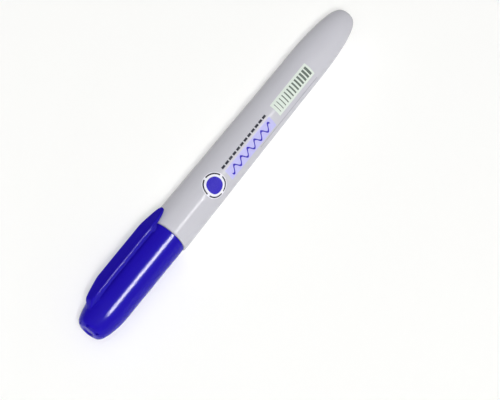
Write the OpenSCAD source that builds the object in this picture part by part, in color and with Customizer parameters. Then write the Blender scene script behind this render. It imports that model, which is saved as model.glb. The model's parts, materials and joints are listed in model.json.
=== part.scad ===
// Felt-tip permanent marker with its cap on, lying on its side.
// The axis of the marker runs along X, with the cap at the +X end. Z is up, and the marker
// rests on z = 0 with the middle of its length over the origin. All sizes are in millimetres.
// Inside the modules x = 0 is the front rim of the barrel, where the cap meets it.

/* [Barrel] */
// Length from the front rim to the end of the tail
barrel_len = 98; // [85:1:115]
// Diameter at the front rim
barrel_front_d = 14.8; // [13.6:0.1:16]
// How much narrower the barrel is near its tail
barrel_taper = 1.8; // [1.2:0.1:2.2]
// Thickness of the wall
barrel_wall = 1.6; // [1.4:0.05:1.8]
// Rounding of the front rim
rim_round = 0.5; // [0.1:0.05:0.6]
// Length of the straight stretch ahead of the tail
tail_straight = 8; // [4:1:16]
// Length of the rounded tail
tail_len = 22; // [16:1:26]
// Thickness of the closed end of the tail
tail_wall = 1.6; // [1:0.1:2.5]
// Distance from the end of the tail to the ribs' stop for the ink reservoir
tail_stop = 17; // [14:1:22]
// Length of the ribs that centre the ink reservoir ahead of their stop
guide_len = 17; // [10:1:26]
// Thickness of the ribs in the tail
guide_t = 0.8; // [0.6:0.1:1.2]

/* [Nose section] */
// How far the collar reaches over the rim of the barrel
collar_rest = 0.3; // [0.2:0.05:0.45]
// Length of the collar
collar_len = 2.2; // [1.4:0.1:3.2]
// How far the grip lies below the surface of the collar
grip_step = 0.5; // [0.3:0.05:0.7]
// Length of the grip
grip_len = 15.9; // [12:0.1:20]
// Height of the bead that runs round the grip
bead_h = 0.2; // [0.1:0.05:0.3]
// Width of the bead
bead_w = 1.2; // [0.8:0.1:1.6]
// Distance of the bead from the collar
bead_off = 2.4; // [1.6:0.1:3]
// Length of the sloping shoulder
shoulder_len = 2.5; // [1.5:0.1:3.5]
// Diameter of the cone where it leaves the shoulder
cone_base_d = 7.9; // [7.2:0.1:8.4]
// Diameter of the cone at its front end
cone_tip_d = 6.2; // [5.4:0.1:7]
// Length of the cone
cone_len = 5.8; // [4:0.1:8]
// Length of the plug that is pressed into the barrel
plug_len = 12; // [8:0.5:16]
// Thickness of the wall round the hollow of the grip
nose_wall = 1.4; // [1.1:0.1:1.7]
// Depth of the plug's seat for the ink reservoir
seat_depth = 9; // [5:0.5:11]
// Thickness of the fins that steady the nib
fin_t = 0.9; // [0.6:0.1:1.2]
// How far the fins reach into the hollow of the grip
fin_len = 12; // [6:0.5:15]
// Width of the air grooves beside the nib
groove_w = 0.7; // [0.4:0.1:1]
// Depth of the air grooves
groove_h = 0.4; // [0.2:0.05:0.5]

/* [Nib and reservoir] */
// Diameter of the nib
nib_d = 4.2; // [3.6:0.1:4.6]
// Length of nib that shows
nib_out = 7.4; // [5.5:0.1:9]
// Length of the bullet-shaped point
point_len = 5.5; // [4:0.1:5.5]
// How far the nib reaches into the reservoir
nib_sink = 6; // [3:0.5:10]
// Thickness of the film round the reservoir
film_t = 0.15; // [0.1:0.05:0.3]

/* [Cap] */
// Thickness of the wall of the cap at its mouth
lip_wall = 0.75; // [0.6:0.05:0.9]
// How much narrower the cap is at its crown
cap_taper = 0.2; // [0.1:0.1:0.6]
// Rounding of the edge of the mouth
mouth_round = 0.2; // [0.05:0.05:0.25]
// Depth of the wider bore behind the mouth
lip_len = 6.5; // [6:0.1:8]
// Length of the curved crown
crown_len = 11.8; // [9:0.1:14]
// Diameter of the flat end of the crown
crown_end_d = 9; // [8.4:0.1:9.8]
// Rounding of the edge of the flat end
crown_round = 2.8; // [1.2:0.1:3.2]
// Thickness of the end of the crown
crown_wall = 1; // [0.8:0.05:1.4]
// Diameter of the shallow dish in the flat end
dish_d = 4; // [3:0.1:4.4]
// Depth of the dish
dish_h = 0.3; // [0.1:0.05:0.4]
// Number of vents round the crown, and of ribs between them
vents = 6; // [4:1:8]
// Width of a vent
vent_w = 1.1; // [0.7:0.1:1.4]
// How far a vent reaches in over the end of the inner cap
vent_over = 0.4; // [0.2:0.05:0.6]
// How far a vent opens outside the end of the inner cap
vent_open = 0.65; // [0.4:0.05:0.8]
// Thickness of the ribs that hold the inner cap
rib_t = 0.8; // [0.6:0.1:1]
// Length of those ribs
rib_len = 11; // [6:0.5:13]
// Room ahead of the nib inside the inner cap
tip_room = 5.5; // [4.4:0.1:8]
// Thickness of the inner cap
inner_wall = 0.7; // [0.5:0.05:0.9]

/* [Clip] */
// Width of the clip
clip_w = 5.5; // [3.6:0.1:6]
// Thickness of the clip's arm
clip_t = 1.75; // [1.3:0.05:2]
// Gap between the arm and the mouth of the cap
clip_gap = 0.95; // [0.7:0.05:1.3]
// How far the clip reaches past the mouth of the cap
clip_past = 4.8; // [3:0.1:8]
// Distance from the end of the cap to the place where the clip flexes
clip_root = 9; // [8:0.1:11]
// Gap between the arm and the cap where the clip flexes
clip_root_gap = 0.25; // [0.2:0.05:0.4]
// Thickness of the arm where the clip flexes
clip_root_t = 1.95; // [1:0.05:2.2]
// Distance from the place where the clip flexes to the bend of its arm
clip_knee = 6; // [4:0.1:8]
// Distance from the end of the cap to the foot of the clip
clip_foot = 4.5; // [4.4:0.1:6]
// Length over which the clip narrows to its foot
clip_narrow = 10; // [6:0.5:14]
// Length over which the clip narrows to its tip
clip_point = 9; // [5:0.5:12]
// Distance from the place where the clip flexes to its heel, where it turns down to the crown
clip_heel = 2.2; // [1:0.1:2.6]
// How much lower the heel is than the place where the clip flexes
heel_drop = 0.4; // [0.2:0.05:0.6]
// Distance from the clip's tip to the bend of its back
clip_bend = 7.9; // [5:0.1:12]
// Thickness of the clip at its tip
clip_tip_t = 0.55; // [0.5:0.05:1]
// How much lower the clip's tip is than the back of its arm
tip_drop = 0.6; // [0.3:0.05:0.9]
// Distance of the bead under the clip from the mouth of the cap
clip_bead_in = 1.2; // [0.8:0.1:3]
// Length of the bead under the clip
clip_bead_len = 3; // [2:0.1:4]
// Rounding of the clip's long edges
clip_round = 0.5; // [0.2:0.05:0.6]
// How far the clip is turned from the top towards -Y, in degrees
clip_roll = 35; // [0:1:60]

/* [Fits] */
// Radial clearance of the plug in the barrel
plug_fit = 0.02; // [0:0.01:0.05]
// Radial clearance of the cap on the collar
cap_fit = 0.1; // [0.06:0.01:0.15]
// Radial clearance of the cap on the grip
grip_air = 0.2; // [0.1:0.05:0.3]
// Radial clearance of the inner cap on the cone
seal_fit = 0.1; // [0.06:0.01:0.2]
// Radial clearance of the inner cap's closed end in the crown
inner_air = 0.08; // [0.05:0.01:0.15]
// Distance of the inner cap from the shoulder
seal_gap = 0.3; // [0.15:0.05:0.6]
// Gap between the mouth of the cap and the rim of the barrel
mouth_gap = 0.12; // [0.08:0.01:0.3]
// Radial clearance of the reservoir in the barrel
reservoir_air = 0.35; // [0.2:0.05:0.5]
// Radial clearance of the reservoir in its seat
seat_fit = 0.1; // [0.02:0.01:0.15]
// Radial clearance of the nib between the fins
fin_fit = 0.1; // [0.05:0.01:0.2]
// Gap between the bead under the clip and the cap, and least gap between the clip's tip and the barrel
bead_gap = 0.15; // [0.1:0.05:0.4]
// Gap at the place where the clip flexes
flex_gap = 0.03; // [0.02:0.01:0.08]

/* [Hidden] */

blue = "#241aa0";
pale_grey = "#cfcfd8";
ink_blue = "#100b46";
fibre_blue = "#3b3488";
clear_film = "#e6e8ef";

round_fn = 96;
arc_steps = 6;
dome_steps = 20;
// How deep ribs, fins and the foot of the clip are sunk into the wall that carries them
sunk = 0.4;
// Room by which a cut passes the face that it opens
past = 1;

// Barrel
front_r = barrel_front_d / 2;
tail_r = front_r - barrel_taper / 2;
plug_bore_r = front_r - barrel_wall;
tail_bore_r = tail_r - barrel_wall;
tail_start = -(barrel_len - tail_len);
straight_start = tail_start + tail_straight;
stop_x = -(barrel_len - tail_stop);

// Ink reservoir
film_r = tail_bore_r - reservoir_air;
core_r = film_r - film_t;

// Nose section
collar_r = plug_bore_r + collar_rest;
grip_r = collar_r - grip_step;
plug_r = plug_bore_r - plug_fit;
seat_r = film_r + seat_fit;
seat_x = -(plug_len - seat_depth);
hollow_r = grip_r - nose_wall;
shoulder_x = collar_len + grip_len;
cone_x = shoulder_x + shoulder_len;
cone_end = cone_x + cone_len;
nib_r = nib_d / 2;
nib_back = seat_x - nib_sink;
nib_tip = cone_end + nib_out;

// Cap
lip_r = collar_r + cap_fit;
cap_bore_r = grip_r + grip_air;
mouth_r = lip_r + lip_wall;
crown_r = mouth_r - cap_taper / 2;
inner_end = nib_tip + tip_room;
crown_floor = inner_end + inner_wall;
cap_end = crown_floor + crown_wall;
crown_x = cap_end - crown_len;
crown_drop = crown_r - crown_end_d / 2;
crown_bend = (pow(crown_len, 2) + pow(crown_drop, 2)) / (2 * crown_drop);
inner_mouth = cone_x + seal_gap;
inner_r = cone_base_d / 2 + seal_fit;
floor_r = crown_arc(crown_floor) + cap_bore_r - crown_r;
inner_end_r = floor_r - inner_air - inner_wall;
vent_in_r = inner_end_r + inner_wall - vent_over;
vent_out_r = inner_end_r + inner_wall + vent_open;

// Clip
clip_back = mouth_r + clip_gap + clip_t;
clip_under = clip_back - clip_t;
clip_bead = mouth_r + bead_gap;
clip_bead_x = mouth_gap + clip_bead_in;
tip_under = max(front_r + bead_gap, clip_back - tip_drop - clip_tip_t);
tip_back = max(clip_back - tip_drop, tip_under + clip_tip_t);
lead_under = max(front_r + bead_gap, (clip_under + tip_under) / 2);
flex_x = cap_end - clip_root;
foot_x = cap_end - clip_foot;
heel_x = flex_x + clip_heel;
knee_x = flex_x - clip_knee;
root_under = crown_arc(flex_x) + clip_root_gap;
root_back = root_under + clip_root_t;
tip_x = mouth_gap - clip_past;

function unit(v) = v / norm(v);

// Arc that rounds the corner b between a and c to radius r, or the corner itself where r is 0
function corner(a, b, c, r) =
    r == 0 ? [b] :
    let (to_a = unit(a - b),
         to_c = unit(c - b),
         half = acos(to_a * to_c) / 2,
         centre = b + unit(to_a + to_c) * r / sin(half),
         start = b + to_a * r / tan(half) - centre,
         end = b + to_c * r / tan(half) - centre,
         turn = atan2(start[0] * end[1] - start[1] * end[0], start * end))
    [for (i = [0 : arc_steps])
        let (angle = turn * i / arc_steps)
        centre + [start[0] * cos(angle) - start[1] * sin(angle),
                  start[0] * sin(angle) + start[1] * cos(angle)]];

// Closed outline through points [x, height, rounding]
function rounded(points) =
    let (count = len(points))
    [for (i = [0 : count - 1])
        let (before = points[(i + count - 1) % count],
             here = points[i],
             after = points[(i + 1) % count])
        each corner([before[0], before[1]], [here[0], here[1]], [after[0], after[1]], here[2])];

// Height of a domed end, from 1 where it starts (u = 0) to 0 at its tip (u = 1)
function dome(u, shape, bluntness) = pow(1 - pow(u, shape), bluntness);

// Shares of a dome's length, closer together towards its tip
function dome_shares() = [for (i = [0 : dome_steps]) 1 - pow(1 - i / dome_steps, 3)];

// Points [x, radius, 0] of the rounded tail, from its tip to its start
function tail_points(radius, length, shape = 1.6, bluntness = 0.26) =
    [for (i = [dome_steps : -1 : 0])
        let (u = dome_shares()[i])
        [tail_start - length * u, radius * dome(u, shape, bluntness), 0]];

// Points of the bullet-shaped point of the nib, from its start to its tip
function point_points(shape = 1.6, bluntness = 0.62) =
    [for (u = dome_shares())
        [nib_tip - point_len * (1 - u), nib_r * dome(u, shape, bluntness), 0]];

// Points [x, half width, 0] of one side of the clip where it narrows, up to the one before end_x
function narrow_points(end_x, length, side, shape = 1, bluntness = 0.36) =
    [for (i = [0 : dome_steps - 1])
        let (u = dome_shares()[i])
        [end_x + length * (1 - u), side * clip_w / 2 * dome(u, shape, bluntness), 0]];

// The same points in the other order
function backwards(points) = [for (i = [len(points) - 1 : -1 : 0]) points[i]];

// Radius of the crown at x, on an arc that leaves the side of the cap smoothly
function crown_arc(x) = crown_r - crown_bend + sqrt(pow(crown_bend, 2) - pow(max(x - crown_x, 0), 2));

// Points of the crown's curve
function crown_points(grow = 0, end_x = cap_end) =
    [for (i = [0 : dome_steps])
        let (x = crown_x + crown_len * i / dome_steps)
        if (x < end_x) [x, crown_arc(x) + grow, 0]];

// Solid of revolution about X from points [x, radius, rounding]
module turned(points)
    rotate([0, 90, 0])
        rotate_extrude($fn = round_fn)
            polygon([for (p = rounded(points)) [p[1], p[0]]]);

// Flat outline in the X-Z plane from points [x, height, rounding], of a given width along Y
module upright(points, width)
    rotate([90, 0, 0])
        linear_extrude(height = width, center = true)
            polygon(rounded(points));

// Radial plates about X, from the axis to reach, between two places along X
module spokes(count, thickness, reach, from_x, to_x, start_angle = 0)
    for (i = [0 : count - 1])
        rotate([start_angle + i * 360 / count, 0, 0])
            translate([from_x, -thickness / 2, 0])
                cube([to_x - from_x, thickness, reach]);

// Rod along X
module rod(radius, from_x, to_x)
    translate([from_x, 0, 0])
        rotate([0, 90, 0])
            cylinder(h = to_x - from_x, r = radius, $fn = round_fn);

// Space inside the barrel, made larger all round by grow
module barrel_space(grow = 0)
    turned(concat(
        [[tail_start - tail_len + tail_wall - grow, 0, 0]],
        tail_points(tail_bore_r + grow, tail_len - tail_wall + grow),
        [[straight_start, tail_bore_r + grow, 0],
         [-plug_len - past, plug_bore_r + grow, 0],
         [past, plug_bore_r + grow, 0],
         [past, 0, 0]]));

module barrel() {
    color(pale_grey) {
        difference() {
            turned(concat(
                [[-barrel_len, 0, 0]],
                tail_points(tail_r, tail_len),
                [[straight_start, tail_r, 0],
                 [0, front_r, rim_round],
                 [0, 0, 0]]));
            barrel_space();
        }
        difference() {
            intersection() {
                barrel_space(sunk);
                spokes(4, guide_t, front_r, -barrel_len, stop_x + guide_len);
            }
            rod(film_r, stop_x, past);
        }
    }
}

// Outside of the nose section
module nose_outside()
    turned([
        [-plug_len, 0, 0],
        [-plug_len, plug_r, sunk],
        [0, plug_r, 0],
        [0, collar_r, 0],
        [collar_len, collar_r, grip_step / 2],
        [collar_len, grip_r, 0],
        [collar_len + bead_off, grip_r, 0],
        [collar_len + bead_off + bead_w / 4, grip_r + bead_h, bead_w / 8],
        [collar_len + bead_off + bead_w * 3 / 4, grip_r + bead_h, bead_w / 8],
        [collar_len + bead_off + bead_w, grip_r, 0],
        [shoulder_x, grip_r, shoulder_len / 3],
        [cone_x, cone_base_d / 2, shoulder_len / 4],
        [cone_end, cone_tip_d / 2, sunk],
        [cone_end, 0, 0]]);

module nose_section() {
    color(blue) {
        difference() {
            nose_outside();
            rod(seat_r, -plug_len - past, seat_x);
            turned([
                [seat_x - past, 0, 0],
                [seat_x - past, hollow_r, 0],
                [shoulder_x - hollow_r + nib_r, hollow_r, 0],
                [shoulder_x, nib_r, 0],
                [shoulder_x, 0, 0]]);
            rod(nib_r, seat_x, cone_end + past);
            spokes(3, groove_w, nib_r + groove_h, seat_x, cone_end + past, 60);
        }
        difference() {
            spokes(4, fin_t, hollow_r + sunk, seat_x, seat_x + fin_len);
            rod(nib_r + fin_fit, seat_x - past, seat_x + fin_len + past);
        }
    }
}

module nib()
    color(ink_blue)
        turned(concat(
            [[nib_back, 0, 0],
             [nib_back, nib_r, nib_r / 3]],
            point_points()));

module reservoir_core()
    color(fibre_blue)
        difference() {
            rod(core_r, stop_x, seat_x);
            nib();
        }

module reservoir_wrap()
    color(clear_film)
        difference() {
            rod(film_r, stop_x, seat_x);
            rod(core_r, stop_x - past, seat_x + past);
        }

// Outside of the cap, without its clip
module cap_outside()
    turned(concat(
        [[mouth_gap, 0, 0],
         [mouth_gap, mouth_r, mouth_round]],
        crown_points(0, cap_end - crown_round),
        [[cap_end, crown_end_d / 2, crown_round],
         [cap_end, dish_d / 2, 0],
         [cap_end - dish_h, dish_d / 2 - dish_h, 0],
         [cap_end - dish_h, 0, 0]]));

// Space inside the cap, made larger all round by grow
module cap_space(grow = 0)
    turned(concat(
        [[mouth_gap - past, 0, 0],
         [mouth_gap - past, lip_r + grow, 0],
         [lip_len, lip_r + grow, 0],
         [lip_len + lip_r - cap_bore_r, cap_bore_r + grow, 0]],
        crown_points(cap_bore_r - crown_r + grow, crown_floor),
        [[crown_floor, floor_r + grow, 0],
         [crown_floor, 0, 0]]));

// Root of the clip, which rises from the crown
module clip_base()
    intersection() {
        upright([
            [flex_x, 0, 0],
            [flex_x, root_back, 0],
            [heel_x, root_back - heel_drop, clip_heel],
            [foot_x, crown_arc(foot_x) - sunk, 0],
            [cap_end - crown_round, crown_end_d / 4, 0],
            [cap_end - crown_round, 0, 0]], clip_w);
        clip_edges();
        clip_plan();
    }

// Long bar that rounds the outer edges of the clip
module clip_edges()
    rotate([90, 0, 90])
        translate([0, 0, tip_x - past])
            linear_extrude(height = cap_end - tip_x + past)
                polygon(rounded([
                    [-clip_w / 2, 0, 0],
                    [clip_w / 2, 0, 0],
                    [clip_w / 2, clip_back, clip_round],
                    [-clip_w / 2, clip_back, clip_round]]));

// Outline of the clip from above, which narrows to its tip and to its foot
module clip_plan()
    linear_extrude(height = clip_back + past)
        polygon(rounded(concat(
            [[tip_x, 0, 0]],
            backwards(narrow_points(tip_x, clip_point, -1)),
            narrow_points(foot_x, -clip_narrow, -1),
            [[foot_x, 0, 0]],
            backwards(narrow_points(foot_x, -clip_narrow, 1)),
            narrow_points(tip_x, clip_point, 1))));

module cap_shell() {
    color(blue) {
        difference() {
            union() {
                cap_outside();
                clip_base();
            }
            cap_space();
            intersection() {
                spokes(vents, vent_w, crown_r, crown_floor - crown_len / 4, cap_end + past,
                       180 / vents);
                difference() {
                    rod(vent_out_r, crown_x, cap_end + past);
                    rod(vent_in_r, crown_x, cap_end + past);
                }
            }
        }
        difference() {
            intersection() {
                cap_space(sunk);
                spokes(vents, rib_t, crown_r, crown_floor - rib_len, crown_floor + sunk);
            }
            inner_outside();
        }
    }
}

// Outside of the inner cap
module inner_outside()
    turned([
        [inner_mouth, 0, 0],
        [inner_mouth, inner_r + inner_wall, 0],
        [cone_end, inner_r + inner_wall, 0],
        [crown_floor, inner_end_r + inner_wall, 0],
        [crown_floor, 0, 0]]);

module inner_cap()
    color(blue)
        difference() {
            inner_outside();
            turned([
                [inner_mouth - past, 0, 0],
                [inner_mouth - past, inner_r, 0],
                [cone_end, inner_r, 0],
                [inner_end, inner_end_r, inner_wall / 2],
                [inner_end, 0, 0]]);
        }

module pocket_clip()
    color(blue)
        intersection() {
            upright([
                [flex_x - flex_gap, root_under, 0],
                [flex_x - flex_gap, root_back, 0],
                [knee_x, clip_back, clip_knee * 3],
                [tip_x + clip_bend, clip_back, clip_bend / 2],
                [tip_x, tip_back, clip_tip_t / 2],
                [tip_x, tip_under, clip_tip_t / 4],
                [clip_bead_x, lead_under, clip_tip_t / 2],
                [clip_bead_x + clip_bead_len / 3, clip_bead, clip_tip_t / 2],
                [clip_bead_x + clip_bead_len * 2 / 3, clip_bead, clip_tip_t / 2],
                [clip_bead_x + clip_bead_len, clip_under, clip_tip_t / 2],
                [knee_x, clip_under, clip_knee * 2]], clip_w);
            clip_edges();
            clip_plan();
        }

// Puts the marker on the floor, with the middle of its length over the origin
module lying()
    translate([(barrel_len - cap_end) / 2, 0, front_r])
        children();

// Turns the cap so that its clip lies where it does
module rolled()
    rotate([clip_roll, 0, 0])
        children();

lying() barrel();
lying() nose_section();
lying() nib();
lying() reservoir_core();
lying() reservoir_wrap();
lying() rolled() cap_shell();
lying() rolled() inner_cap();
lying() rolled() pocket_clip();
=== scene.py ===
# %% [markdown]
# # A permanent marker with its cap on
# The CAD model gives this marker its solids, their sizes and the joints between them. What it does not
# give is a surface that looks moulded, inked and handled. This lesson dresses the frame piece by piece:
# first a few helpers, then the plastics, then each moulding, the ink on the barrel, and at the end the
# table, the light and the camera. Shapes are worked out in millimetres, in whole numpy arrays, and
# turned to metres when their points are placed round the axis.

# %% Load the frame
import json

import bmesh
import bpy
import numpy as np
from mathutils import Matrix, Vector


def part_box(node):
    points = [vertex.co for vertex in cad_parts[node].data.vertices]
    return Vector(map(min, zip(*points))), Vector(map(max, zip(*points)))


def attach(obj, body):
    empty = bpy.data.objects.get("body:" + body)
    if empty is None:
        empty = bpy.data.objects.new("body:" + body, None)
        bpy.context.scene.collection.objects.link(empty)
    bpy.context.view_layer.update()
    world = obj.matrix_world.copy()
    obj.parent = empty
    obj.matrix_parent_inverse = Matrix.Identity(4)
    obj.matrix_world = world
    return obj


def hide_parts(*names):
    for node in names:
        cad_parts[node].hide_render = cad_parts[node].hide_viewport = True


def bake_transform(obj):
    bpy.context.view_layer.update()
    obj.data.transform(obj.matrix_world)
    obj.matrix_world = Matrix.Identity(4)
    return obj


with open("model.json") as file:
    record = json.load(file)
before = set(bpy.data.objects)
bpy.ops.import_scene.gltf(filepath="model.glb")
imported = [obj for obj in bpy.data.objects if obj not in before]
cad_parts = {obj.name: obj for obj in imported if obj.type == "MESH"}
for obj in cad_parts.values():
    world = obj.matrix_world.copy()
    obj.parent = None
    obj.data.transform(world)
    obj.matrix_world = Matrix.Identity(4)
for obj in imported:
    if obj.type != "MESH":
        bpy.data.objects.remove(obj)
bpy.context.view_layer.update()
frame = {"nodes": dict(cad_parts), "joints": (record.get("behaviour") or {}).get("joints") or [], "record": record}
print("CAD nodes:", sorted(frame["nodes"]))

# %% [markdown]
# ## Where things are
# A marker is a turned object, so every place on it is a distance along the axis and a radius. Distances
# here start at the front rim of the barrel, where the cap meets it, and grow towards the cap. The rim,
# the axis, the cap's end and the clip's flexing root are read from the frame. It does not hold smaller
# sizes, such as walls and roundings, so each piece below names those again as the CAD model has them.

# %% Places along the marker
MM = 0.001
joints = {joint["name"]: joint for joint in frame["joints"]}
mounts = {mount["name"]: mount for mount in frame["record"]["mounts"]}


def reach(node):
    """Lowest and highest corner of a CAD node in millimetres, counted from the barrel's rim and axis."""
    corners = np.array([list(corner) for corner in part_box(node)]) / MM
    return corners - np.array([rim_x, 0, axis_z])


axis_z = mounts["tail_grip"]["pos_m"][2] / MM
rim_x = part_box("barrel")[1].x / MM
# The rim lies on the table, so the axis is as high as the rim's radius.
front_r = axis_z
tail_r = mounts["tail_grip"]["dims"]["r_mm"]
barrel_len = -reach("barrel")[0, 0]
mouth_x, cap_end = reach("cap_shell")[:, 0]
nib_back, nib_tip = reach("nib")[:, 0]
nose_back, nose_end = reach("nose_section")[:, 0]
tip_x = reach("pocket_clip")[0, 0]
hinge = np.array(joints["clip_flex"]["pos_m"]) / MM - np.array([rim_x, 0, axis_z])
flex_x = hinge[0]
root_back = np.hypot(hinge[1], hinge[2])
clip_turn = np.arctan2(hinge[1], hinge[2])
print(f"barrel {barrel_len:.1f} mm, cap {cap_end:.1f} mm, clip turned {np.degrees(clip_turn):.1f} degrees")

# %% [markdown]
# ## From a line to a surface
# All the mouldings start as a line of (distance, radius) points. `rounded_line` rounds its corners the
# way a tool maker does, with true arcs. It also puts a point a little way before and after each arc:
# smooth shading averages the normals of neighbouring faces, and these holding points keep the long flat
# faces from taking up part of the arc's turn.

# %% Lines with rounded corners
ARC_STEPS = 8
HOLD = 0.05
SAME_POINT = 0.004


def unit(vectors):
    """Each vector divided by its own length."""
    return vectors / np.linalg.norm(vectors, axis=-1, keepdims=True)


def lengths_along(line):
    """Length of the line from its first point up to each of its points."""
    return np.concatenate([[0.0], np.cumsum(np.linalg.norm(np.diff(line, axis=0), axis=1))])


def points_at(line, places):
    """Points at the given lengths from the line's start, on the straight stretches between its points."""
    lengths = lengths_along(line)
    return np.stack([np.interp(places, lengths, line[:, k]) for k in range(2)], axis=1)


def rounded_line(corners, longest=1.5):
    """Line through corners (distance, height, rounding), with no step longer than longest.

    The arc of a corner has its centre on the bisector, rounding / sin(half angle) away. It runs from one
    touching point to the other, and a point at share t of it is the mean of both touching directions,
    weighted by the sines of what is left of the turn and of what is done.
    """
    corners = np.array([tuple(corner) + (0.0,) * (3 - len(corner)) for corner in corners], float)
    here, rounding = corners[1:-1, :2], corners[1:-1, 2:]
    back, ahead = unit(corners[:-2, :2] - here), unit(corners[2:, :2] - here)
    half = np.arccos(np.clip((back * ahead).sum(1, keepdims=True), -1, 1)) / 2
    turn = np.maximum(np.pi - 2 * half, 1e-6)
    centre = here + np.where(rounding > 0, unit(back + ahead + 1e-12), 0) * rounding / np.sin(half)
    touch = rounding / np.tan(half)
    start, end = here + back * touch - centre, here + ahead * touch - centre
    share = np.linspace(0, 1, ARC_STEPS + 1)[:, None, None]
    arcs = centre + (np.sin((1 - share) * turn) * start + np.sin(share * turn) * end) / np.sin(turn)
    held = np.where(rounding > 0, touch + HOLD, 0)
    stations = np.concatenate([(here + back * held)[None], arcs, (here + ahead * held)[None]])
    line = np.concatenate([corners[:1, :2], stations.transpose(1, 0, 2).reshape(-1, 2), corners[-1:, :2]])
    lengths = lengths_along(line)
    line = points_at(line, np.union1d(lengths, np.arange(0, lengths[-1], longest)))
    apart = np.linalg.norm(np.diff(line, axis=0), axis=1) > SAME_POINT
    return line[np.concatenate([[True], apart])]


print("a rounded square corner has", len(rounded_line([(0, 0), (5, 0, 1), (5, 5)])), "points")

# %% [markdown]
# `around` turns the millimetres of a shape into metres. Angles turn from the top of the lying marker
# towards +Y. A grid of points then becomes a mesh: each face joins two neighbours of one row with the
# same two of the next. Rows that shrink to one point, as at the tip of a dome, are merged, so poles are
# closed, and the normals are worked out after that.

# %% Grids that become meshes
TURN_STEPS = 240
TURN = np.arange(TURN_STEPS) * 2 * np.pi / TURN_STEPS
MERGE = 1e-6
SHARP = np.radians(38)


def around(distance, radius, angle):
    """Points in metres: X is the rim plus distance, Y is radius times the sine of the angle.

    Z is the height of the axis plus radius times the cosine.
    """
    distance, radius, angle = np.broadcast_arrays(distance, radius, angle)
    across, up = radius * np.sin(angle), axis_z + radius * np.cos(angle)
    return MM * np.stack([rim_x + distance, across, up], axis=-1)


def grid_faces(rows, columns, wrapped=True):
    """Faces of a grid numbered row by row: point, its right neighbour, and the two under them."""
    corner = np.arange(rows * columns).reshape(rows, columns)
    right = np.roll(corner, -1, axis=1)
    faces = np.stack([corner[:-1], right[:-1], right[1:], corner[1:]], axis=-1)
    return faces if wrapped else faces[:, :-1]


def mesh_piece(name, points, faces, material):
    """Object from points in metres and four-cornered faces, with its doubles merged."""
    mesh = bpy.data.meshes.new(name)
    mesh.from_pydata(points.reshape(-1, 3).tolist(), [], faces.reshape(-1, 4).tolist())
    shell = bmesh.new()
    shell.from_mesh(mesh)
    bmesh.ops.remove_doubles(shell, verts=shell.verts, dist=MERGE)
    bmesh.ops.recalc_face_normals(shell, faces=shell.faces)
    open_edges = sum(not edge.is_manifold for edge in shell.edges)
    shell.to_mesh(mesh)
    shell.free()
    mesh.shade_smooth()
    mesh.set_sharp_from_angle(angle=SHARP)
    mesh.materials.append(material)
    thing = bpy.data.objects.new(name, mesh)
    bpy.context.scene.collection.objects.link(thing)
    print(f"{name}: {len(mesh.polygons)} faces, {open_edges} open edges")
    return thing


def turned_piece(name, line, material):
    """Surface of revolution: the line of (distance, radius) points is carried once round the axis."""
    points = around(line[:, :1], line[:, 1:], TURN[None])
    return mesh_piece(name, points, grid_faces(len(line), TURN_STEPS), material)


print("a turned piece has", TURN_STEPS, "columns, one every", 360 / TURN_STEPS, "degrees")

# %% [markdown]
# ## Colour and nodes
# Colours are written as sRGB hex values, as a designer reads them off a screen. Shaders work with linear
# light, so one function turns them. One more adds a node: settings that are sockets become links, other
# values are put on the input of that name.

# %% Colour and node helpers
def linear(colour):
    """Linear colour of an sRGB hex value: about a thirteenth near black, a power of 2.4 above it."""
    srgb = np.array([int(colour[k:k + 2], 16) for k in (1, 3, 5)]) / 255
    light = np.where(srgb <= 0.04045, srgb / 12.92, ((srgb + 0.055) / 1.055) ** 2.4)
    return (*light.tolist(), 1.0)


def add_node(tree, kind, inputs=None, **settings):
    """New node of a kind, with its own settings, and with inputs given as values or as sockets to link."""
    node = tree.nodes.new(kind)
    for key, value in settings.items():
        setattr(node, key, value)
    for key, value in (inputs or {}).items():
        if isinstance(value, bpy.types.NodeSocket):
            tree.links.new(value, node.inputs[key])
        else:
            node.inputs[key].default_value = value
    return node


def new_material(name):
    """Empty node material: its tree, its shader, and the object's own coordinates."""
    material = bpy.data.materials.new(name)
    material.use_nodes = True
    tree = material.node_tree
    place = add_node(tree, "ShaderNodeTexCoord").outputs["Object"]
    return material, tree, tree.nodes["Principled BSDF"], place


print("a middle grey of #808080 is", round(linear("#808080")[0], 3), "in linear light")

# %% [markdown]
# ## Moulded polypropylene
# Cap, clip, nose and barrel are injection moulded polypropylene, the plastic of most marker bodies. Up
# close it is never one flat colour: the melt flows along the tool and leaves faint streaks along the
# axis, and the tool's polish leaves a fine unevenness that softens highlights. Both tools were polished,
# so highlights are narrow. On the pale barrel they are also weak, which a low specular level gives. The
# flow marks are drawn 2 mm wide, as they are in life. The unevenness is drawn at 0.5 mm, coarser than in
# life, because a finer one would not show.

# %% Moulded polypropylene
PP_IOR = 1.49
FLOW_LENGTH, FLOW_WIDTH = 30.0, 2.0
POLISH_SIZE = 0.5
NOISE_LOW, NOISE_HIGH = 0.3, 0.7


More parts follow.
